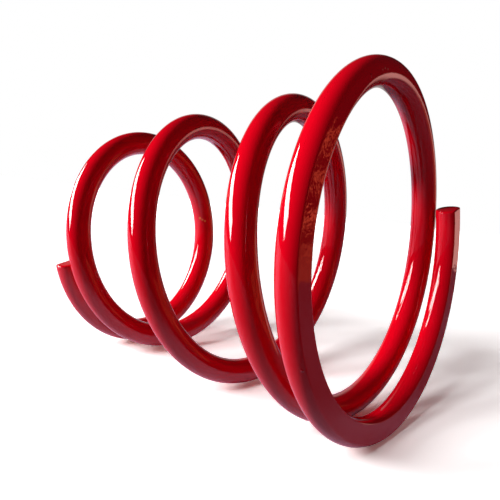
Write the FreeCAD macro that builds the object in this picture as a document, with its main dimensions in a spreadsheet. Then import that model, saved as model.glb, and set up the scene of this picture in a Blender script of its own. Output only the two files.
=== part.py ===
import FreeCAD, Part
import math
import os

# Conical compression spring, coiled from one length of round wire, right hand.
# It stands on its large end: the origin is on the axis at the large ground face, +Z runs up the axis
# to the small end, and the cut tip of the large end lies on +X. A "turn" is one time round the axis,
# counted along the wire from that tip.

DRIVING_DIMENSIONS = [
    # alias, value, what it is
    ("wire_diameter", 8.0, "round wire, mm"),
    ("free_length", 104.0, "from ground face to ground face with no load, mm"),
    ("total_turns", 4.51, "turns from one cut tip to the other"),
    ("large_end_radius", 48.2, "centre of the wire to the axis in the large end turn, mm"),
    ("shoulder_radius", 42.3, "the same where the cone has stepped in from the large end turn, mm"),
    ("waist_radius", 40.8, "the same half way from the shoulder to the small end turn, mm"),
    ("small_end_radius", 35.2, "the same in the small end turn, mm"),
    ("large_end_turns", 1.07, "turns that keep the large end radius"),
    ("step_in_turns", 0.47, "turns from there to the shoulder"),
    ("small_end_turns", 1.09, "turns that keep the small end radius"),
    ("large_end_flat_turns", 0.47, "first part of the wire, wound with no pitch at all"),
    ("small_end_flat_turns", 0.25, "last part of the wire, wound the same way"),
    ("tip_gap", 0.3, "gap between each cut tip and the turn it closes on, mm"),
    ("grinding_depth", 1.1, "wire ground away from each end turn, mm"),
    ("coil_lean", 3.0, "tilt of the open turns, up towards the side of the large end's tip, degrees"),
    ("lean_in_turns", 0.57, "turns over which the wire takes up that tilt, next to the large end's flat"),
]

# Fineness of the calculation, which changes no size.
SAMPLES_PER_TURN = 180
ARC_PAIRS_PER_TURN = 8
SOLVING_STEPS = 40
FIRST_GUESS_OF_TURNS = 1.5


def make_sheet(doc):
    """Keep every driving dimension in one spreadsheet, each cell with a name."""
    sheet = doc.addObject("Spreadsheet::Sheet", "Dimensions")
    sheet.Label = "dimensions"
    for row, (alias, value, meaning) in enumerate(DRIVING_DIMENSIONS, start=1):
        sheet.set("A%d" % row, meaning)
        sheet.set("B%d" % row, str(value))
        sheet.setAlias("B%d" % row, alias)
    doc.recompute()
    return sheet


def ease(share):
    """Smooth step from 0 to 1 with level ends."""
    share = min(max(share, 0.0), 1.0)
    return share * share * (3.0 - 2.0 * share)


class Winding:
    """Where the centre of the wire runs, worked out from the driving dimensions."""

    def __init__(self, sheet):
        size = {alias: float(sheet.get(alias)) for alias, value, meaning in DRIVING_DIMENSIONS}
        self.size = size
        self.turns = size["total_turns"]
        self.lean = math.tan(math.radians(size["coil_lean"]))
        # A ground face lies this far outside the centre of the wire.
        self.seat_offset = size["wire_diameter"] / 2 - size["grinding_depth"]
        self.rise = size["free_length"] - 2 * self.seat_offset
        self.steps = int(math.ceil(self.turns * SAMPLES_PER_TURN))
        self.close_both_ends()

    def radius(self, turn):
        """Radius of the cone: level end turns, and a smooth curve through shoulder and waist."""
        size = self.size
        shoulder_turn = size["large_end_turns"] + size["step_in_turns"]
        small_end_turn = self.turns - size["small_end_turns"]
        stations = [
            (size["large_end_turns"], size["large_end_radius"]),
            (shoulder_turn, size["shoulder_radius"]),
            ((shoulder_turn + small_end_turn) / 2, size["waist_radius"]),
            (small_end_turn, size["small_end_radius"]),
        ]
        if turn <= stations[0][0]:
            return stations[0][1]
        if turn >= stations[-1][0]:
            return stations[-1][1]
        slopes = [0.0]
        for before, after in zip(stations, stations[2:]):
            slopes.append((after[1] - before[1]) / (after[0] - before[0]))
        slopes.append(0.0)
        place = max(number for number in range(3) if stations[number][0] <= turn)
        (start, start_radius), (end, end_radius) = stations[place], stations[place + 1]
        span = end - start
        share = (turn - start) / span
        rest = 1.0 - share
        return (start_radius * (1 + 2 * share) * rest ** 2
                + slopes[place] * span * share * rest ** 2
                + end_radius * (3 - 2 * share) * share ** 2
                - slopes[place + 1] * span * rest * share ** 2)

    def still_open(self, turn):
        """1 along the wire, until it eases down to 0 at the small end's flat part."""
        closed_again = self.turns - self.size["small_end_flat_turns"]
        return 1.0 - ease((turn - closed_again + self.closing_turns) / self.closing_turns)

    def openness(self, turn):
        """Share of the full pitch at a turn: 0 in the flat ends, at once open after the large end."""
        past_flat = (turn - self.size["large_end_flat_turns"]) / self.opening_turns
        opened = 1.0 - (1.0 - min(max(past_flat, 0.0), 1.0)) ** 3
        return opened * self.still_open(turn)

    def leaning(self, turn):
        """Share of the full lean at a turn: 0 in the flat ends, 1 in the open coils."""
        past_flat = (turn - self.size["large_end_flat_turns"]) / self.size["lean_in_turns"]
        return ease(past_flat) * self.still_open(turn)

    def measure_climb(self):
        """Add up the pitch along the wire, so that the whole climb is the rise."""
        step = self.turns / self.steps
        levels = [0.0]
        for number in range(self.steps):
            middle = self.openness((number + 0.5) * step)
            levels.append(levels[-1] + middle * step)
        self.pitch = self.rise / levels[-1]
        self.levels = [level * self.pitch for level in levels]

    def height(self, turn):
        """Height of the wire's centre above the large ground face, with the lean of the open coils."""
        place = min(max(turn / self.turns, 0.0), 1.0) * self.steps
        number = min(int(place), self.steps - 1)
        share = place - number
        level = self.levels[number] * (1.0 - share) + self.levels[number + 1] * share
        sideways = self.radius(turn) * math.cos(2 * math.pi * turn)
        return self.seat_offset + level + self.leaning(turn) * self.lean * sideways

    def close_both_ends(self):
        """Find how many turns the pitch takes to open and to close.

        Each end is closed: one turn on from a cut tip, the wire has climbed by its own
        diameter and the tip gap, no more and no less.
        """
        closed_climb = self.size["wire_diameter"] + self.size["tip_gap"]
        self.opening_turns = FIRST_GUESS_OF_TURNS
        self.closing_turns = FIRST_GUESS_OF_TURNS
        for step in range(SOLVING_STEPS):
            self.measure_climb()
            large_end_climb = self.height(1.0) - self.height(0.0)
            small_end_climb = self.height(self.turns) - self.height(self.turns - 1.0)
            self.opening_turns *= math.sqrt(large_end_climb / closed_climb)
            self.closing_turns *= math.sqrt(small_end_climb / closed_climb)
        self.measure_climb()

    def point(self, turn):
        angle = 2 * math.pi * turn
        radius = self.radius(turn)
        return FreeCAD.Vector(radius * math.cos(angle), radius * math.sin(angle), self.height(turn))

    def direction(self, turn):
        """Unit vector along the wire."""
        near = max(turn - 0.5 / SAMPLES_PER_TURN, 0.0)
        far = min(turn + 0.5 / SAMPLES_PER_TURN, self.turns)
        return (self.point(far) - self.point(near)).normalize()

    def centreline(self):
        """A chain of tangent arcs, two for each step along the winding."""
        count = int(math.ceil(self.turns * ARC_PAIRS_PER_TURN))
        stops = [self.turns * number / count for number in range(count + 1)]
        arcs = []
        for near, far in zip(stops, stops[1:]):
            arcs += arc_pair(self.point(near), self.direction(near), self.point(far), self.direction(far))
        return Part.Wire(arcs)


def arc_pair(start, start_direction, end, end_direction):
    """Two arcs that leave start and reach end along the given directions, and meet without a kink.

    Each arc's two tangents are equally long. With the same length for both arcs, the corner
    points are that length from the ends, and the arcs meet half way between the corners.
    """
    chord = end - start
    both = start_direction + end_direction
    bend = 2.0 * (1.0 - start_direction.dot(end_direction))
    across = chord.dot(both)
    reach = (math.sqrt(across * across + bend * chord.dot(chord)) - across) / bend
    first_corner = start + start_direction * reach
    second_corner = end - end_direction * reach
    meeting = (first_corner + second_corner) * 0.5
    return [one_arc(start, first_corner, meeting), one_arc(meeting, second_corner, end)]


def one_arc(start, corner, end):
    """The arc from start to end whose tangents there meet at the corner."""
    middle = (start + end) * 0.5
    half_chord = (end - start).Length / 2
    towards_corner = corner - middle
    half_angle = math.atan2(towards_corner.Length, half_chord)
    bulge = half_chord * math.tan(half_angle / 2)
    top = middle + towards_corner * (bulge / towards_corner.Length)
    return Part.Arc(start, top, end).toShape()


def make_coil(doc, sheet):
    """Sweep the round wire along the winding and grind both ends flat."""
    winding = Winding(sheet)

    # No ready-made helix has closed ends, a changing pitch and a lean, so the curve is set here.
    centreline = doc.addObject("Part::Feature", "WireCentreline")
    centreline.Label = "wire_centreline"
    centreline.Shape = winding.centreline()

    section = doc.addObject("Part::Circle", "WireSection")
    section.Label = "wire_section"
    section.setExpression("Radius", "Dimensions.wire_diameter / 2")
    along_wire = FreeCAD.Rotation(FreeCAD.Vector(0, 0, 1), winding.direction(0.0))
    section.Placement = FreeCAD.Placement(winding.point(0.0), along_wire)

    wound = doc.addObject("Part::Sweep", "WoundWire")
    wound.Label = "wound_wire"
    wound.Sections = [section]
    wound.Spine = (centreline, ["Edge%d" % (number + 1) for number in range(len(centreline.Shape.Edges))])
    wound.Solid = True

    # The two grinding wheels leave only what lies between the ground faces.
    wheels = doc.addObject("Part::Cylinder", "BetweenTheWheels")
    wheels.Label = "between_the_wheels"
    wheels.setExpression("Radius", "Dimensions.large_end_radius + 2 * Dimensions.wire_diameter")
    wheels.setExpression("Height", "Dimensions.free_length")

    coil = doc.addObject("Part::Common", "GroundCoil")
    coil.Label = "spring_coil"
    coil.Base = wound
    coil.Tool = wheels
    return coil, winding


def check(doc, pieces):
    """Stop before anything is written if a step failed or a piece isn't one sound solid."""
    for item in doc.Objects:
        if "Invalid" in item.State or "Error" in item.State:
            raise RuntimeError("%s failed: %s" % (item.Label, item.State))
    for piece in pieces:
        if piece.Shape.isNull() or not piece.Shape.isValid():
            raise RuntimeError("%s has no valid shape" % piece.Label)
        if len(piece.Shape.Solids) != 1:
            raise RuntimeError("%s is %d solids, not one" % (piece.Label, len(piece.Shape.Solids)))


doc = FreeCAD.newDocument("conical_compression_spring")
sheet = make_sheet(doc)
spring_coil, winding = make_coil(doc, sheet)
doc.recompute()
check(doc, [spring_coil])

os.makedirs("parts", exist_ok=True)
for piece in [spring_coil]:
    piece.Shape.exportStep(os.path.join("parts", piece.Label + ".step"))
    corners = piece.Shape.tessellate(0.05)[0]
    spans = [max(corner[axis] for corner in corners) - min(corner[axis] for corner in corners)
             for axis in range(3)]
    print("%s: %.2f x %.2f x %.2f mm, %.2f cm3" % (
        piece.Label, spans[0], spans[1], spans[2], piece.Shape.Volume / 1000))
print("pitch %.2f mm, opens over %.3f turns, closes over %.3f turns" % (
    winding.pitch, winding.opening_turns, winding.closing_turns))
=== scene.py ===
# %% [markdown]
# # A red conical compression spring
#
# One length of round steel wire, wound right-handed into a cone, closed and ground flat at both ends
# and painted a glossy red. The spring stands on its large end: the origin is on the axis in the plane
# of the large ground face, and +Z runs up the axis to the small end. The photo shows it lying on its
# flank on white paper, with a window to the left.
#
# A "turn" is one time round the axis, counted along the wire from the large end's cut tip on +X.
# Lengths are in millimetres, and are scaled by MM where they go into Blender.

import math

import bpy
import numpy as np
from mathutils import Matrix, Vector


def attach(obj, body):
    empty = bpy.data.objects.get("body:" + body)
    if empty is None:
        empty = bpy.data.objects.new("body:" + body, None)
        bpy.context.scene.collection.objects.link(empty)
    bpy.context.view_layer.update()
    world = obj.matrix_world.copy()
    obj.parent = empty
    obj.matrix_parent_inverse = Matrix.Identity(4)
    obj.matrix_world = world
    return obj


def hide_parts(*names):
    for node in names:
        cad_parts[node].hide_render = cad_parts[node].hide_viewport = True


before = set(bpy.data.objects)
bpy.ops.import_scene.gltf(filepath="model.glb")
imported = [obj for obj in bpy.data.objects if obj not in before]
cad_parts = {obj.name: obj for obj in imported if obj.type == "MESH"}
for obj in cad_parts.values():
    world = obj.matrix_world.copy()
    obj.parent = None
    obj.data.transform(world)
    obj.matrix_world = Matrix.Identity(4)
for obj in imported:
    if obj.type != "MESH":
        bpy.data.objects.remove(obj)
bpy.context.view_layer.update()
MM = 0.001

# %% [markdown]
# ## The winding
#
# The real spring is coiled round a cone, and its pitch changes on the way: the end turns lie flat and
# close on their neighbours, the turns between them are open and lean a little. Blender's Screw modifier
# makes even helices only, so the line of the wire's centre is worked out here, by the same sizes and the
# same law as in the CAD part. The radius is level in both end turns and follows a smooth curve through a
# shoulder and a waist between them. The height adds up a pitch that is nothing in the flat ends.

# %% Sizes of the spring
WIRE_DIAMETER = 8.0
FREE_LENGTH = 104.0
TOTAL_TURNS = 4.51
LARGE_END_RADIUS = 48.2
SHOULDER_RADIUS = 42.3
WAIST_RADIUS = 40.8
SMALL_END_RADIUS = 35.2
LARGE_END_TURNS = 1.07
STEP_IN_TURNS = 0.47
SMALL_END_TURNS = 1.09
LARGE_END_FLAT_TURNS = 0.47
SMALL_END_FLAT_TURNS = 0.25
TIP_GAP = 0.3
GRINDING_DEPTH = 1.1
COIL_LEAN = math.radians(3.0)
LEAN_IN_TURNS = 0.57

WIRE_RADIUS = WIRE_DIAMETER / 2
print("wire %.0f mm thick, %.2f turns" % (WIRE_DIAMETER, TOTAL_TURNS))

# %% Radius along the wire
CENTRE_SAMPLES = 4000
turn = np.linspace(0.0, TOTAL_TURNS, CENTRE_SAMPLES)


def cone_radius(turn):
    """Radius at each turn: a cubic between stations, with the slope between a station's neighbours."""
    shoulder_turn = LARGE_END_TURNS + STEP_IN_TURNS
    small_end_turn = TOTAL_TURNS - SMALL_END_TURNS
    waist_turn = (shoulder_turn + small_end_turn) / 2
    place = np.array([LARGE_END_TURNS, shoulder_turn, waist_turn, small_end_turn])
    value = np.array([LARGE_END_RADIUS, SHOULDER_RADIUS, WAIST_RADIUS, SMALL_END_RADIUS])
    slope = np.zeros(4)
    slope[1:3] = (value[2:] - value[:2]) / (place[2:] - place[:2])
    part = np.clip(np.searchsorted(place, turn, side="right") - 1, 0, 2)
    span = place[part + 1] - place[part]
    share = np.clip((turn - place[part]) / span, 0.0, 1.0)
    rest = 1.0 - share
    return (value[part] * (1 + 2 * share) * rest**2 + slope[part] * span * share * rest**2
            + value[part + 1] * (3 - 2 * share) * share**2 - slope[part + 1] * span * rest * share**2)


radius = cone_radius(turn)
print("radius %.1f mm in the large end turn, %.1f mm in the small one" % (radius[0], radius[-1]))

# %% Height along the wire
FIRST_GUESS_OF_TURNS = 1.5
SOLVING_STEPS = 40


def ease(share):
    """Smooth step from 0 to 1 with level ends: three squares less two cubes."""
    share = np.clip(share, 0.0, 1.0)
    return share * share * (3.0 - 2.0 * share)


def wire_height(turn, radius):
    """Height of the wire's centre: flat ends, open coils with a lean, and both tips closed.

    The height is the running sum of the pitch, plus the lean times the sideways place. The numbers of
    turns over which the pitch opens and closes are stretched until both end turns climb by one wire
    and the tip gap.
    """
    seat_offset = WIRE_RADIUS - GRINDING_DEPTH
    rise = FREE_LENGTH - 2 * seat_offset
    climb_wanted = WIRE_DIAMETER + TIP_GAP
    sideways = radius * np.cos(2 * np.pi * turn)
    past_flat = turn - LARGE_END_FLAT_TURNS
    closed_again = TOTAL_TURNS - SMALL_END_FLAT_TURNS
    opening = closing = FIRST_GUESS_OF_TURNS
    for step in range(SOLVING_STEPS):
        still_open = 1.0 - ease((turn - closed_again + closing) / closing)
        openness = (1.0 - (1.0 - np.clip(past_flat / opening, 0.0, 1.0)) ** 3) * still_open
        leaning = ease(past_flat / LEAN_IN_TURNS) * still_open
        level = np.concatenate([[0.0], np.cumsum((openness[1:] + openness[:-1]) / 2)])
        height = seat_offset + level / level[-1] * rise + leaning * math.tan(COIL_LEAN) * sideways
        opening *= math.sqrt((np.interp(1.0, turn, height) - height[0]) / climb_wanted)
        closing *= math.sqrt((height[-1] - np.interp(TOTAL_TURNS - 1.0, turn, height)) / climb_wanted)
    return height


height = wire_height(turn, radius)
print("the large end turn climbs %.2f mm, wire and gap" % (np.interp(1.0, turn, height) - height[0]))

# %% Line of the wire's centre
angle = 2 * np.pi * turn
centre = np.stack([radius * np.cos(angle), radius * np.sin(angle), height], axis=1)
wire_length = np.concatenate([[0.0], np.cumsum(np.linalg.norm(np.diff(centre, axis=0), axis=1))])
print("wire length %.0f mm, free length %.1f mm" % (wire_length[-1], FREE_LENGTH))

# %% [markdown]
# ## The skin of the wire
#
# On the real spring the round wire is cut off square at both tips, and a wheel has ground the two end
# turns flat, which leaves a long crescent that tapers to nothing. A bevelled curve with a boolean cut
# would do, but its edges come out ragged where the flat runs out. So the skin is carried along the
# winding ring by ring. A ring's distance from the wire's centre is the wire radius, or the distance to a
# ground face where that is less, with a soft corner between them where the paint is drawn round the edge.
# The grid lines gather at those corners, so that the edges of the ground faces stay smooth lines.

# %% Where the rings stand along the wire
RING_COUNT = 1150
TIP_EDGE = 0.45
TIP_EDGE_STEPS = 6

edge_angle = np.linspace(0, np.pi / 2, TIP_EDGE_STEPS + 1)[1:]
tip_lengths = TIP_EDGE * (1 - np.sin(edge_angle))
tip_insets = TIP_EDGE * (1 - np.cos(edge_angle))
even_lengths = np.linspace(TIP_EDGE, wire_length[-1] - TIP_EDGE, RING_COUNT)
ring_length = np.concatenate([tip_lengths[::-1], even_lengths, wire_length[-1] - tip_lengths])
ring_inset = np.concatenate([tip_insets[::-1], np.zeros(RING_COUNT), tip_insets])
print("rings %d, every %.2f mm along the wire" % (len(ring_length), even_lengths[1] - even_lengths[0]))


# %% Axes of each ring
def read_at_rings(values):
    """What is known at each sample of the wire's centre, read off at the rings."""
    return np.stack([np.interp(ring_length, wire_length, values[:, axis]) for axis in range(3)], axis=1)


def unit(vectors):
    """Each vector divided by its length."""
    return vectors / np.linalg.norm(vectors, axis=1, keepdims=True)


up = np.array([0.0, 0.0, 1.0])
ring_centre = read_at_rings(centre)
ring_along = unit(read_at_rings(np.gradient(centre, wire_length, axis=0)))
ring_up = unit(up - (ring_along @ up)[:, None] * ring_along)
ring_out = np.cross(ring_along, ring_up)
print("steepest climb of the wire %.1f degrees" % math.degrees(math.asin(ring_along[:, 2].max())))

# %% Angles round each ring
EDGE_REACH = 0.11
LEAST_CORNER = 0.26
HALF_RING_PARTS = (4, 6, 14, 6, 4)


def corner_angle(distance):
    """Angle from the ground face's normal to its edge: the arc cosine of distance over wire radius."""
    return np.maximum(np.arccos(np.clip(distance / WIRE_RADIUS, -1.0, 1.0)), LEAST_CORNER)


low_distance = ring_centre[:, 2] / ring_up[:, 2]
high_distance = (FREE_LENGTH - ring_centre[:, 2]) / ring_up[:, 2]
low_corner = corner_angle(low_distance)
high_corner = np.pi - corner_angle(high_distance)
bottom = np.zeros(len(ring_length))
knots = np.stack([bottom, low_corner - EDGE_REACH, low_corner + EDGE_REACH,
                  high_corner - EDGE_REACH, high_corner + EDGE_REACH, bottom + np.pi], axis=1)
half = [knots[:, :1]]
for number, count in enumerate(HALF_RING_PARTS):
    share = np.arange(1, count + 1) / count
    first, last = knots[:, number:number + 1], knots[:, number + 1:number + 2]
    half.append(first + (last - first) * share)
half = np.concatenate(half, axis=1)
around = np.concatenate([half, 2 * np.pi - half[:, -2:0:-1]], axis=1)
AROUND_COUNT = around.shape[1]
print("points round each ring:", AROUND_COUNT)

# %% The skin
EDGE_SOFTNESS = 0.20
LEAST_COSINE = 0.05
OUT_OF_REACH = 1000.0
TIP_MEAN_REACH = WIRE_RADIUS * 0.9


def reach_to_face(distance, facing):
    """Distance to a ground face in each direction: the straight distance to it over the cosine."""
    slanting = distance[:, None] / np.maximum(facing, LEAST_COSINE)
    return np.where(facing > LEAST_COSINE, slanting, OUT_OF_REACH)


def soft_least(first, second, softness):
    """The lesser of two lengths, less the square of what the softness exceeds their difference by."""
    near = np.clip(softness - np.abs(first - second), 0.0, None)
    return np.minimum(first, second) - near * near / (4 * softness)


facing_down = np.cos(around)
to_face = np.minimum(reach_to_face(low_distance, facing_down), reach_to_face(high_distance, -facing_down))
reach = soft_least(np.full_like(around, WIRE_RADIUS), to_face, EDGE_SOFTNESS)
reach = reach * (1 - ring_inset / TIP_MEAN_REACH)[:, None]
skin = (ring_centre[:, None, :] - (reach * facing_down)[..., None] * ring_up[:, None, :]
        + (reach * np.sin(around))[..., None] * ring_out[:, None, :])
print("skin from %.2f to %.2f mm high" % (skin[..., 2].min(), skin[..., 2].max()))

# %% Points, with the faces of the cut tips
TIP_FACE_SHARES = (0.86, 0.62, 0.36, 0.15)


def tip_rings(ring):
    """Smaller and smaller copies of a tip's last ring, each drawn in towards its middle by a share."""
    middle = ring.mean(axis=0)
    return np.array([middle + (ring - middle) * share for share in TIP_FACE_SHARES])


rings = np.concatenate([tip_rings(skin[0])[::-1], skin, tip_rings(skin[-1])])
points = np.concatenate([rings.reshape(-1, 3), rings[:1].mean(axis=1), rings[-1:].mean(axis=1)])
print("points:", len(points))

# %% Faces
ring_start = np.arange(len(rings) - 1)[:, None] * AROUND_COUNT
here = np.arange(AROUND_COUNT)
beside = (here + 1) % AROUND_COUNT
quads = np.stack([ring_start + here, ring_start + AROUND_COUNT + here,
                  ring_start + AROUND_COUNT + beside, ring_start + beside], axis=-1).reshape(-1, 4)
last_ring = (len(rings) - 1) * AROUND_COUNT
start_middle, end_middle = len(points) - 2, len(points) - 1
start_fan = np.stack([np.full(AROUND_COUNT, start_middle), here, beside], axis=1)
end_fan = np.stack([np.full(AROUND_COUNT, end_middle), last_ring + beside, last_ring + here], axis=1)
faces = quads.tolist() + start_fan.tolist() + end_fan.tolist()
print("faces %d, about %d triangles" % (len(faces), 2 * len(quads) + 2 * AROUND_COUNT))


# %% The spring as an object
def put_in_scene(name, data):
    """An object in the scene that holds a mesh, a camera or a lamp."""
    thing = bpy.data.objects.new(name, data)
    bpy.context.scene.collection.objects.link(thing)
    return thing


mesh = bpy.data.meshes.new("painted_spring")
mesh.from_pydata((points * MM).tolist(), [], faces)
mesh.polygons.foreach_set("use_smooth", np.ones(len(mesh.polygons), dtype=bool))
mesh.update()
spring = put_in_scene("painted_spring", mesh)
print("object:", spring.name)

# %% Mark the ground faces
GROUND_LEVEL = 0.02
GROUND_FADE = 0.1

from_face = np.minimum(points[:, 2], FREE_LENGTH - points[:, 2])
ground = np.exp(-np.clip(from_face - GROUND_LEVEL, 0, None) / GROUND_FADE)
mesh.attributes.new("ground", "FLOAT", "POINT").data.foreach_set("value", ground.astype(np.float32))
print("points on the ground faces:", int((ground > 0.5).sum()))

# %% [markdown]
# ## The paint
#
# The real coat is a thick glossy red over steel, sprayed on after the grinding, so it also covers the
# ground faces and still shows the marks of the wheel there. A single glossy shader would mirror and
# colour in one layer. Here the colour is a dull base, and the mirror is a clear coat over it, as in real
# paint, so that the colour stays deep beside white streaks. The faint waves of sprayed paint are bump,
# because they are far finer than the mesh.
#
# The paint has a few small marks: orange flecks on the fourth turn, pale pink spots at the top of the large
# end, two near-black specks beside the cut tip and two nibs of dust under the paint. Each is a soft spot
# round a place.

# %% Helpers for node trees
MIX_LOW, MIX_HIGH, MIX_RESULT = 6, 7, 2


def add_node(tree, kind, inputs=None, **settings):
    """A node with its settings made, and with values or other nodes' outputs in its inputs."""
    node = tree.nodes.new(kind)
    for name, value in settings.items():
        setattr(node, name, value)
    for name, value in (inputs or {}).items():
        if isinstance(value, bpy.types.NodeSocket):
            tree.links.new(value, node.inputs[name])
        else:
            node.inputs[name].default_value = value
    return node


def new_material(name):
    """A material with an empty node tree and an output."""
    material = bpy.data.materials.new(name)
    material.use_nodes = True
    tree = material.node_tree
    tree.nodes.clear()
    return material, tree, tree.nodes.new("ShaderNodeOutputMaterial")


def worked_out(tree, operation, *values):
    """The result of a sum, such as MULTIPLY or MAXIMUM, on numbers or outputs."""
    return add_node(tree, "ShaderNodeMath", dict(enumerate(values)), operation=operation).outputs["Value"]


def measured(tree, operation, first, second):
    """A number from two vectors: their DISTANCE or their DOT_PRODUCT."""
    node = add_node(tree, "ShaderNodeVectorMath", {0: first, 1: second}, operation=operation)
    return node.outputs["Value"]


def stepped(tree, value, low, high, least=0.0):
    """The least share below low, 1 above high, and a smooth step between."""
    limits = {"Value": value, "From Min": low, "From Max": high, "To Min": least}
    return add_node(tree, "ShaderNodeMapRange", limits, interpolation_type="SMOOTHSTEP").outputs["Result"]


def mixed(tree, share, low_colour, high_colour):
    """One colour where the share is 0 and the other where it is 1."""
    inputs = {"Factor": share, MIX_LOW: low_colour, MIX_HIGH: high_colour}
    return add_node(tree, "ShaderNodeMix", inputs, data_type="RGBA").outputs[MIX_RESULT]


# %% Soft spots on the paint
SPOT_CORE = 0.4

paint, tree, output = new_material("red_paint")
place = add_node(tree, "ShaderNodeTexCoord").outputs["Object"]


def spots(places, size):
    """1 at each place on the paint, and 0 further off than the size: the largest of the spots' shares."""
    together = 0.0
    for spot in places:
        distance = measured(tree, "DISTANCE", place, Vector(spot) * MM)
        share = stepped(tree, distance, size * MM, size * SPOT_CORE * MM)
        together = worked_out(tree, "MAXIMUM", together, share)
    return together


print("material:", paint.name)

# %% Colours of the paint
RED = (0.62, 0.0006, 0.009, 1.0)
# Orange of the flecks on the fourth turn.
FLECK_ORANGE = (0.70, 0.22, 0.06, 1.0)
# Pale pink of the spots at the top of the large end.
PALE_PINK = (0.62, 0.12, 0.10, 1.0)
# Near-black of the two specks beside the cut tip.
NEAR_BLACK = (0.03, 0.004, 0.004, 1.0)
ORANGE_FLECKS = ((31.5, 1.2, 99.4), (32.1, 2.0, 98.7), (32.6, 2.7, 97.9))
PALE_SPOTS = ((-2.0, -48.3, 0.5), (1.4, -48.2, 0.7), (-0.4, -48.6, 0.6))
SPECKS = ((45.8, 1.3, 0.0), (45.6, 4.0, 0.0))
FLECK_SIZE = 0.65
PALE_SPOT_SIZE = 0.40
SPECK_SIZE = 0.40

paint_colour = mixed(tree, spots(ORANGE_FLECKS, FLECK_SIZE), RED, FLECK_ORANGE)
paint_colour = mixed(tree, spots(PALE_SPOTS, PALE_SPOT_SIZE), paint_colour, PALE_PINK)
paint_colour = mixed(tree, spots(SPECKS, SPECK_SIZE), paint_colour, NEAR_BLACK)
print("flaws in the colour:", len(ORANGE_FLECKS) + len(PALE_SPOTS) + len(SPECKS))

# %% Unevenness of the paint
WAVE_SCALE = 160.0
WAVE_DEPTH = 0.03
PEEL_SCALE = 900.0
PEEL_DEPTH = 0.004
GRINDING_SCALE = 420.0
GRINDING_SHARE = 1.5
NIBS = ((-9.5, -47.8, 0.1), (-50.9, 8.5, 0.7))
NIB_SIZE = 0.45
NIB_HEIGHT = 7.0


def noise(scale, detail=2.0):
    """Soft noise over the paint, from 0 to 1."""
    inputs = {"Vector": place, "Scale": scale, "Detail": detail}
    return add_node(tree, "ShaderNodeTexNoise", inputs).outputs["Fac"]


on_ground_face = add_node(tree, "ShaderNodeAttribute", attribute_name="ground").outputs["Fac"]
grinding_marks = worked_out(tree, "MULTIPLY", on_ground_face, noise(GRINDING_SCALE))
waves = worked_out(tree, "MULTIPLY_ADD", grinding_marks, GRINDING_SHARE, noise(WAVE_SCALE))
waves = worked_out(tree, "MULTIPLY_ADD", spots(NIBS, NIB_SIZE), NIB_HEIGHT, waves)
wave_bump = add_node(tree, "ShaderNodeBump", {"Strength": 1.0, "Distance": WAVE_DEPTH * MM, "Height": waves})
peel_bump = add_node(tree, "ShaderNodeBump", {
    "Strength": 1.0, "Distance": PEEL_DEPTH * MM, "Height": noise(PEEL_SCALE, detail=1.0),
    "Normal": wave_bump.outputs["Normal"]})
uneven = peel_bump.outputs["Normal"]
print("waves %.3f mm, peel %.3f mm" % (WAVE_DEPTH, PEEL_DEPTH))

# %% Red base under a clear coat
shader = add_node(tree, "ShaderNodeBsdfPrincipled", {
    "Base Color": paint_colour, "Roughness": 0.38, "Specular IOR Level": 0.0, "IOR": 1.45, "Normal": uneven,
    "Coat Weight": 1.0, "Coat Roughness": 0.02, "Coat IOR": 1.52, "Coat Normal": uneven})
tree.links.new(shader.outputs["BSDF"], output.inputs["Surface"])
mesh.materials.append(paint)
print("nodes in the paint:", len(tree.nodes))

# %% Hand the spring to the part's frame
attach(spring, "root")
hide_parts("spring_coil")
print("slots:", [slot.name for slot in spring.material_slots])

# %% [markdown]
# ## The photo's place
#
# The photo was taken from close by, a little above the paper, so near things look much larger than far
# ones. The camera's place and turn are in the part's own frame, and were found by fitting the winding to
# the outlines in the photo. The spring stays upright in its frame, and the camera is turned instead.

# %% Camera
CAMERA_PLACE = (-140.5526, -52.9660, -61.0981)
CAMERA_RIGHT = (0.6238, 0.1564, -0.7657)
CAMERA_DOWN = (-0.3512, 0.9314, -0.0959)
FOCAL_PIXELS = 570.88
MIDDLE_PIXEL = (216.93, 278.47)
PHOTO_PIXELS = 500
SENSOR_WIDTH = 36.0
NEAREST_SEEN = 5.0
FURTHEST_SEEN = 20000.0

right = Vector(CAMERA_RIGHT).normalized()
forward = right.cross(Vector(CAMERA_DOWN)).normalized()
down = forward.cross(right).normalized()
camera_data = bpy.data.cameras.new("photo_camera")
camera_data.sensor_width = SENSOR_WIDTH
camera_data.lens = FOCAL_PIXELS / PHOTO_PIXELS * SENSOR_WIDTH
camera_data.shift_x = (PHOTO_PIXELS / 2 - MIDDLE_PIXEL[0]) / PHOTO_PIXELS
camera_data.shift_y = (MIDDLE_PIXEL[1] - PHOTO_PIXELS / 2) / PHOTO_PIXELS
camera_data.clip_start = NEAREST_SEEN * MM
camera_data.clip_end = FURTHEST_SEEN * MM
camera = put_in_scene("photo_camera", camera_data)
turning = Matrix((right, -down, -forward)).transposed().to_4x4()
camera.matrix_world = Matrix.Translation(Vector(CAMERA_PLACE) * MM) @ turning
bpy.context.scene.camera = camera
print("lens %.1f mm, %.0f mm from the axis" % (camera_data.lens, Vector(CAMERA_PLACE[:2]).length))

# %% [markdown]
# ## Paper and floor
#
# In the photo the spring lies on white paper, which touches the flank of the large and of the small end
# turn. A sheet is laid against the skin there, by tilting it until it touches both. A second, level
# sheet is the plain floor for a look at the standing spring from other sides.

# %% How the paper lies
# Touching both ends leaves the paper free to roll round the spring, and the first guess settles the roll.
PAPER_UP_GUESS = (0.267, -0.964, -0.124)
END_SHARE = 0.15
TILTING_STEPS = 30


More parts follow.
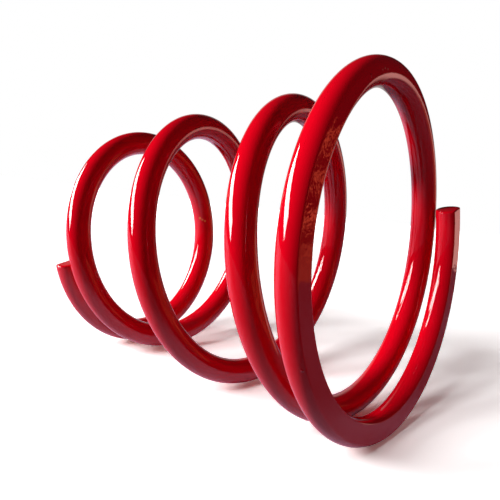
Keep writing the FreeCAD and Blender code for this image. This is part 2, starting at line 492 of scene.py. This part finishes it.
def flank_plane(guess):
    """The plane that the spring lies on: it touches the skin at each end turn's lowest point.

    The lowest points in the guessed direction are found, and the part of the direction that runs from
    one to the other is taken away, until nothing is left of it.
    """
    normal = np.array(Vector(guess).normalized())
    skin_points = skin.reshape(-1, 3)
    large_part = skin_points[skin_points[:, 2] < FREE_LENGTH * END_SHARE]
    small_part = skin_points[skin_points[:, 2] > FREE_LENGTH * (1 - END_SHARE)]
    for step in range(TILTING_STEPS):
        first = large_part[np.argmin(large_part @ normal)]
        second = small_part[np.argmin(small_part @ normal)]
        between = (second - first) / np.linalg.norm(second - first)
        normal = normal - (normal @ between) * between
        normal /= np.linalg.norm(normal)
    return Vector(normal), Vector(first)


paper_up, paper_touch = flank_plane(PAPER_UP_GUESS)
backdrop_way = (forward - forward.dot(paper_up) * paper_up).normalized()
right_way = backdrop_way.cross(paper_up)
lowest = (skin.reshape(-1, 3) @ np.array(paper_up)).min() - paper_touch.dot(paper_up)
print("paper's upward direction", [round(v, 3) for v in paper_up], "deepest point %.2f mm" % lowest)

# %% Two flat sheets
SPRING_MIDDLE = Vector((0.0, 0.0, FREE_LENGTH / 2))
PAPER_GAP = 0.02
PAPER_HALF = 700.0
FLOOR_DEPTH = 0.3
FLOOR_HALF = 1500.0


def flat_sheet(name, middle, normal, towards, half_size):
    """A square sheet that faces along its normal: its corners are half a side forward or back, and aside."""
    towards = (towards - towards.dot(normal) * normal).normalized()
    side = normal.cross(towards)
    signs = ((-1, -1), (1, -1), (1, 1), (-1, 1))
    corners = [middle + (towards * a + side * b) * half_size for a, b in signs]
    sheet_mesh = bpy.data.meshes.new(name)
    sheet_mesh.from_pydata([corner * MM for corner in corners], [], [(0, 1, 2, 3)])
    return put_in_scene(name, sheet_mesh)


paper_middle = SPRING_MIDDLE - paper_up * ((SPRING_MIDDLE - paper_touch).dot(paper_up) + PAPER_GAP)
paper = flat_sheet("paper", paper_middle, paper_up, forward, PAPER_HALF)
floor = flat_sheet("floor", Vector((0, 0, -FLOOR_DEPTH)), Vector((0, 0, 1)), Vector((1, 0, 0)), FLOOR_HALF)
print("paper is %.1f mm from the spring's middle" % (SPRING_MIDDLE - paper_middle).length)

# %% [markdown]
# ## White of the paper and the floor
#
# The photo is exposed so that paper turns pure white, and only the spring's shadow is darker. More light
# would spoil the red, so the white is in the sheets' own material: the camera sees a colour just above
# white, which the shadow still darkens. A soft glow fills in far from the spring, where the lamps fade.
# Near the spring the glow is faint and pink, so that the shadow is as warm as the photo's.
#
# The paint sees another paper than the camera does. In the photo it mirrors a dim one, darkest towards
# the camera and to the right, so mirrored and bounced rays find the paper dimmed that way.
#
# Both sheets show from their front only. The floor shows to the camera only, so that it never stands
# between the photo's camera and the spring.

# %% Glow for both sheets
NEAR_GLOW = (0.07, 0.015, 0.012, 1.0)
FAR_GLOW = (1.0, 1.0, 1.0, 1.0)
NEAR_REACH = 240.0
FAR_REACH = 560.0

glow_group = bpy.data.node_groups.new("glow_round_spring", "ShaderNodeTree")
glow_group.interface.new_socket("Middle", in_out="INPUT", socket_type="NodeSocketVector")
glow_group.interface.new_socket("Color", in_out="OUTPUT", socket_type="NodeSocketColor")
middle = glow_group.nodes.new("NodeGroupInput").outputs["Middle"]
place = add_node(glow_group, "ShaderNodeTexCoord").outputs["Object"]
from_middle = measured(glow_group, "DISTANCE", place, middle)
far_share = stepped(glow_group, from_middle, NEAR_REACH * MM, FAR_REACH * MM)
add_node(glow_group, "NodeGroupOutput", {"Color": mixed(glow_group, far_share, NEAR_GLOW, FAR_GLOW)})
print("group:", glow_group.name)

# %% White that keeps the shadow
WHITE_SEEN = (1.58, 1.62, 1.62, 1.0)


def glowing_white(tree, colour, seen, middle):
    """A dull colour, plus the glow where the ray is seen by the camera."""
    glow_colour = add_node(tree, "ShaderNodeGroup", {"Middle": middle * MM}, node_tree=glow_group)
    glow = add_node(tree, "ShaderNodeEmission", {"Color": glow_colour.outputs["Color"], "Strength": seen})
    white = add_node(tree, "ShaderNodeBsdfDiffuse", {"Color": colour})
    both = add_node(tree, "ShaderNodeAddShader", {0: white.outputs["BSDF"], 1: glow.outputs["Emission"]})
    return both.outputs["Shader"]


def show_where(tree, output, shown, surface):
    """The surface where shown is 1, and clear where it is 0."""
    clear = add_node(tree, "ShaderNodeBsdfTransparent").outputs["BSDF"]
    mix = add_node(tree, "ShaderNodeMixShader", {"Fac": shown, 1: clear, 2: surface})
    tree.links.new(mix.outputs["Shader"], output.inputs["Surface"])


def front_side(tree):
    """1 on the side that the sheet faces, and 0 behind it."""
    return worked_out(tree, "SUBTRACT", 1.0, add_node(tree, "ShaderNodeNewGeometry").outputs["Backfacing"])


print("white for the camera:", WHITE_SEEN[:3])

# %% Paper
WHITE_MIRRORED = (1.2, 0.70, 1.0, 1.0)
WHITE_BOUNCED = (0.38, 0.32, 0.32, 1.0)
DARK = (0.0, 0.0, 0.0, 1.0)
DIM_SHARE = 0.20
FRONT_DIM = (-110.0, 0.0)
RIGHT_DIM = (110.0, 10.0)

paper_white, tree, output = new_material("paper_white")
place = add_node(tree, "ShaderNodeTexCoord").outputs["Object"]
ray = add_node(tree, "ShaderNodeLightPath").outputs
lit_shares = []
for way, (dim_from, dim_to) in ((backdrop_way, FRONT_DIM), (right_way, RIGHT_DIM)):
    start = paper_middle.dot(way)
    along = measured(tree, "DOT_PRODUCT", place, way)
    lit_shares.append(stepped(tree, along, (dim_from + start) * MM, (dim_to + start) * MM, DIM_SHARE))
lit_share = worked_out(tree, "MULTIPLY", *lit_shares)
unseen = mixed(tree, ray["Is Glossy Ray"], WHITE_BOUNCED, WHITE_MIRRORED)
colour = mixed(tree, ray["Is Camera Ray"], mixed(tree, lit_share, DARK, unseen), WHITE_SEEN)
surface = glowing_white(tree, colour, ray["Is Camera Ray"], paper_middle)
show_where(tree, output, front_side(tree), surface)
paper.data.materials.append(paper_white)
print("material:", paper_white.name)

# %% Floor
floor_white, tree, output = new_material("floor_white")
seen = add_node(tree, "ShaderNodeLightPath").outputs["Is Camera Ray"]
surface = glowing_white(tree, WHITE_SEEN, seen, Vector((0.0, 0.0, 0.0)))
show_where(tree, output, worked_out(tree, "MULTIPLY", front_side(tree), seen), surface)
floor.data.materials.append(floor_white)
print("material:", floor_white.name)

# %% [markdown]
# ## Lamps
#
# The photo is lit from the left. The white streaks in the paint come from a low, wide window, the bright
# sides of the wire from a narrower part of it, and the shadow from further round to the front. One lamp
# can't do all three, so each has its own, and light linking keeps it to the spring or to a sheet. The
# window only shows in the paint, and the key only lights it, more strongly than a plain light would,
# because the photo's darks and brights lie far apart. Two lamps in front of the window cast the shadow
# on the paper, and one above lights the level floor.

# %% Soft lamps
LAMP_DISTANCE = 3000.0


def soft_lamp(name, direction, long_way, half_angles, radiance, lit):
    """A rectangular lamp in a direction from the spring and facing it, its long side along long_way.

    It lights one thing only. Its power is pi times its area times its radiance.
    """
    direction = Vector(direction).normalized()
    long_way = (Vector(long_way) - Vector(long_way).dot(direction) * direction).normalized()
    lamp_data = bpy.data.lights.new(name, "AREA")
    lamp_data.shape = "RECTANGLE"
    sides = [2 * LAMP_DISTANCE * MM * math.tan(math.radians(half_angle)) for half_angle in half_angles]
    lamp_data.size, lamp_data.size_y = sides
    lamp_data.energy = math.pi * lamp_data.size * lamp_data.size_y * radiance
    lamp = put_in_scene(name, lamp_data)
    axes = Matrix((long_way, direction.cross(long_way), direction)).transposed().to_4x4()
    lamp.matrix_world = Matrix.Translation((SPRING_MIDDLE + direction * LAMP_DISTANCE) * MM) @ axes
    lit_things = bpy.data.collections.new("lit_by_" + name)
    lit_things.objects.link(lit)
    lamp.light_linking.receiver_collection = lit_things
    print("%s: %.0f W on the %s" % (name, lamp_data.energy, lit.name))
    return lamp


def seen_from_spring(turned_back, raised):
    """Direction to the photo's left, turned towards the backdrop and raised above the paper, in degrees."""
    turned_back, raised = math.radians(turned_back), math.radians(raised)
    level = backdrop_way * math.sin(turned_back) - right_way * math.cos(turned_back)
    return level * math.cos(raised) + paper_up * math.sin(raised)


# %% Place the lamps
WINDOW_FAR_END = seen_from_spring(39, 24)
WINDOW_NEAR_END = seen_from_spring(-19, 12)
window = soft_lamp("window", seen_from_spring(9, 18), WINDOW_FAR_END - WINDOW_NEAR_END,
                   half_angles=(28.0, 8.5), radiance=22.0, lit=spring)
window.visible_diffuse = False
key = soft_lamp("key", seen_from_spring(-5, 20), paper_up,
                half_angles=(7.0, 7.0), radiance=100.0, lit=spring)
key.visible_glossy = False
soft_lamp("sky", seen_from_spring(-42, 34), paper_up,
          half_angles=(10.0, 10.0), radiance=21.0, lit=paper)
soft_lamp("sky_side", seen_from_spring(-16, 24), paper_up,
          half_angles=(10.0, 9.0), radiance=19.5, lit=paper)
soft_lamp("above", (0.25, -0.35, 0.90), (1.0, 0.0, 0.0),
          half_angles=(16.0, 16.0), radiance=9.0, lit=floor)

# %% [markdown]
# ## The room
#
# Glossy paint shows what stands round it, so the world differs by ray. The camera sees plain white.
# Mirrored rays find a dim room: a pale backdrop behind the spring, a grey ground below the horizon, and
# something brown and blotchy beyond the photo's right edge, with a pale tan surface behind it, which the
# large ground face mirrors. Bounced rays find a faint light all round. There is more of it before the
# large ground face and from the backdrop, which keeps the dark sides of the wire red.

# %% Directions in the room
world = bpy.data.worlds.new("room")
bpy.context.scene.world = world
world.use_nodes = True
tree = world.node_tree
tree.nodes.clear()
room_way = add_node(tree, "ShaderNodeTexCoord").outputs["Generated"]
above_paper = measured(tree, "DOT_PRODUCT", room_way, paper_up)
away = measured(tree, "DOT_PRODUCT", room_way, backdrop_way)
to_right = measured(tree, "DOT_PRODUCT", room_way, right_way)
below_spring = measured(tree, "DOT_PRODUCT", room_way, (0.0, 0.0, -1.0))
print("world:", world.name)

# %% Brown surface beyond the right edge
# Each pair of edges says where a share starts and where it is whole, in the cosine between the ray and
# a direction. A blotch's edges are values of the noise.
BLOTCH_SCALE = 26.0
BLOTCH_EDGES = (0.46, 0.64)
FOOT_EDGES = (-0.06, 0.03)
HORIZON_EDGES = (-0.12, -0.06)
TOP_EDGES = (0.20, 0.17)
SIDE_EDGES = (0.6, 0.8)
TAN_AWAY_EDGES = (0.40, 0.52)
TAN_TOP_EDGES = (0.13, 0.07)
BLOTCH_DARK = (0.10, 0.01, 0.01, 1.0)
BLOTCH_BRIGHT = (2.8, 0.34, 0.15, 1.0)
BROWN_FOOT = (0.9, 0.13, 0.08, 1.0)
DARK_TOP = (0.02, 0.01, 0.01, 1.0)
TAN = (1.8, 0.85, 0.75, 1.0)

blotches = add_node(tree, "ShaderNodeTexNoise", {
    "Vector": room_way, "Scale": BLOTCH_SCALE, "Detail": 4.0, "Distortion": 0.8}).outputs["Fac"]
brown = mixed(tree, stepped(tree, blotches, *BLOTCH_EDGES), BLOTCH_DARK, BLOTCH_BRIGHT)
brown = mixed(tree, stepped(tree, above_paper, *FOOT_EDGES), BROWN_FOOT, brown)
further_away = stepped(tree, away, *TAN_AWAY_EDGES)
brown = mixed(tree, further_away, brown, DARK_TOP)
tan_share = worked_out(tree, "MULTIPLY", further_away, stepped(tree, above_paper, *TAN_TOP_EDGES))
brown = mixed(tree, tan_share, brown, TAN)
above_horizon = stepped(tree, above_paper, *HORIZON_EDGES)
level_share = worked_out(tree, "MULTIPLY", above_horizon, stepped(tree, above_paper, *TOP_EDGES))
brown_share = worked_out(tree, "MULTIPLY", stepped(tree, to_right, *SIDE_EDGES), level_share)
print("blotch colours:", BLOTCH_DARK[:3], BLOTCH_BRIGHT[:3])

# %% What mirrored rays find
BACKDROP_EDGES = (0.86, 0.97)
ROOM_DARK = (0.010, 0.008, 0.010, 1.0)
BACKDROP_MIRRORED = (0.50, 0.45, 0.45, 1.0)
BELOW_HORIZON = (0.25, 0.22, 0.22, 1.0)

mirrored = mixed(tree, stepped(tree, away, *BACKDROP_EDGES), ROOM_DARK, BACKDROP_MIRRORED)
mirrored = mixed(tree, above_horizon, BELOW_HORIZON, mirrored)
mirrored = mixed(tree, brown_share, mirrored, brown)
print("dark of the room:", ROOM_DARK[:3])

# %% What bounced rays find
FRONT_LIGHT_EDGES = (0.80, 0.93)
BACKDROP_LIGHT_EDGES = (0.6, 0.95)
FAINT_LIGHT = (0.02, 0.019, 0.019, 1.0)
FRONT_LIGHT = (1.05, 0.88, 0.88, 1.0)
BACKDROP_LIGHT = (0.40, 0.38, 0.38, 1.0)

bounced = mixed(tree, stepped(tree, below_spring, *FRONT_LIGHT_EDGES), FAINT_LIGHT, FRONT_LIGHT)
bounced = mixed(tree, stepped(tree, away, *BACKDROP_LIGHT_EDGES), bounced, BACKDROP_LIGHT)
print("light before the large ground face:", FRONT_LIGHT[:3])

# %% Room for each kind of ray
WHITE = (1.0, 1.0, 1.0, 1.0)

ray = add_node(tree, "ShaderNodeLightPath").outputs
unseen = mixed(tree, ray["Is Glossy Ray"], bounced, mirrored)
room = add_node(tree, "ShaderNodeBackground", {"Color": mixed(tree, ray["Is Camera Ray"], unseen, WHITE)})
room_output = tree.nodes.new("ShaderNodeOutputWorld")
tree.links.new(room.outputs["Background"], room_output.inputs["Surface"])
print("nodes in the room:", len(tree.nodes))

# %% [markdown]
# ## Finish
#
# Plain view settings.

# %% View settings
bpy.context.scene.view_settings.view_transform = "Standard"
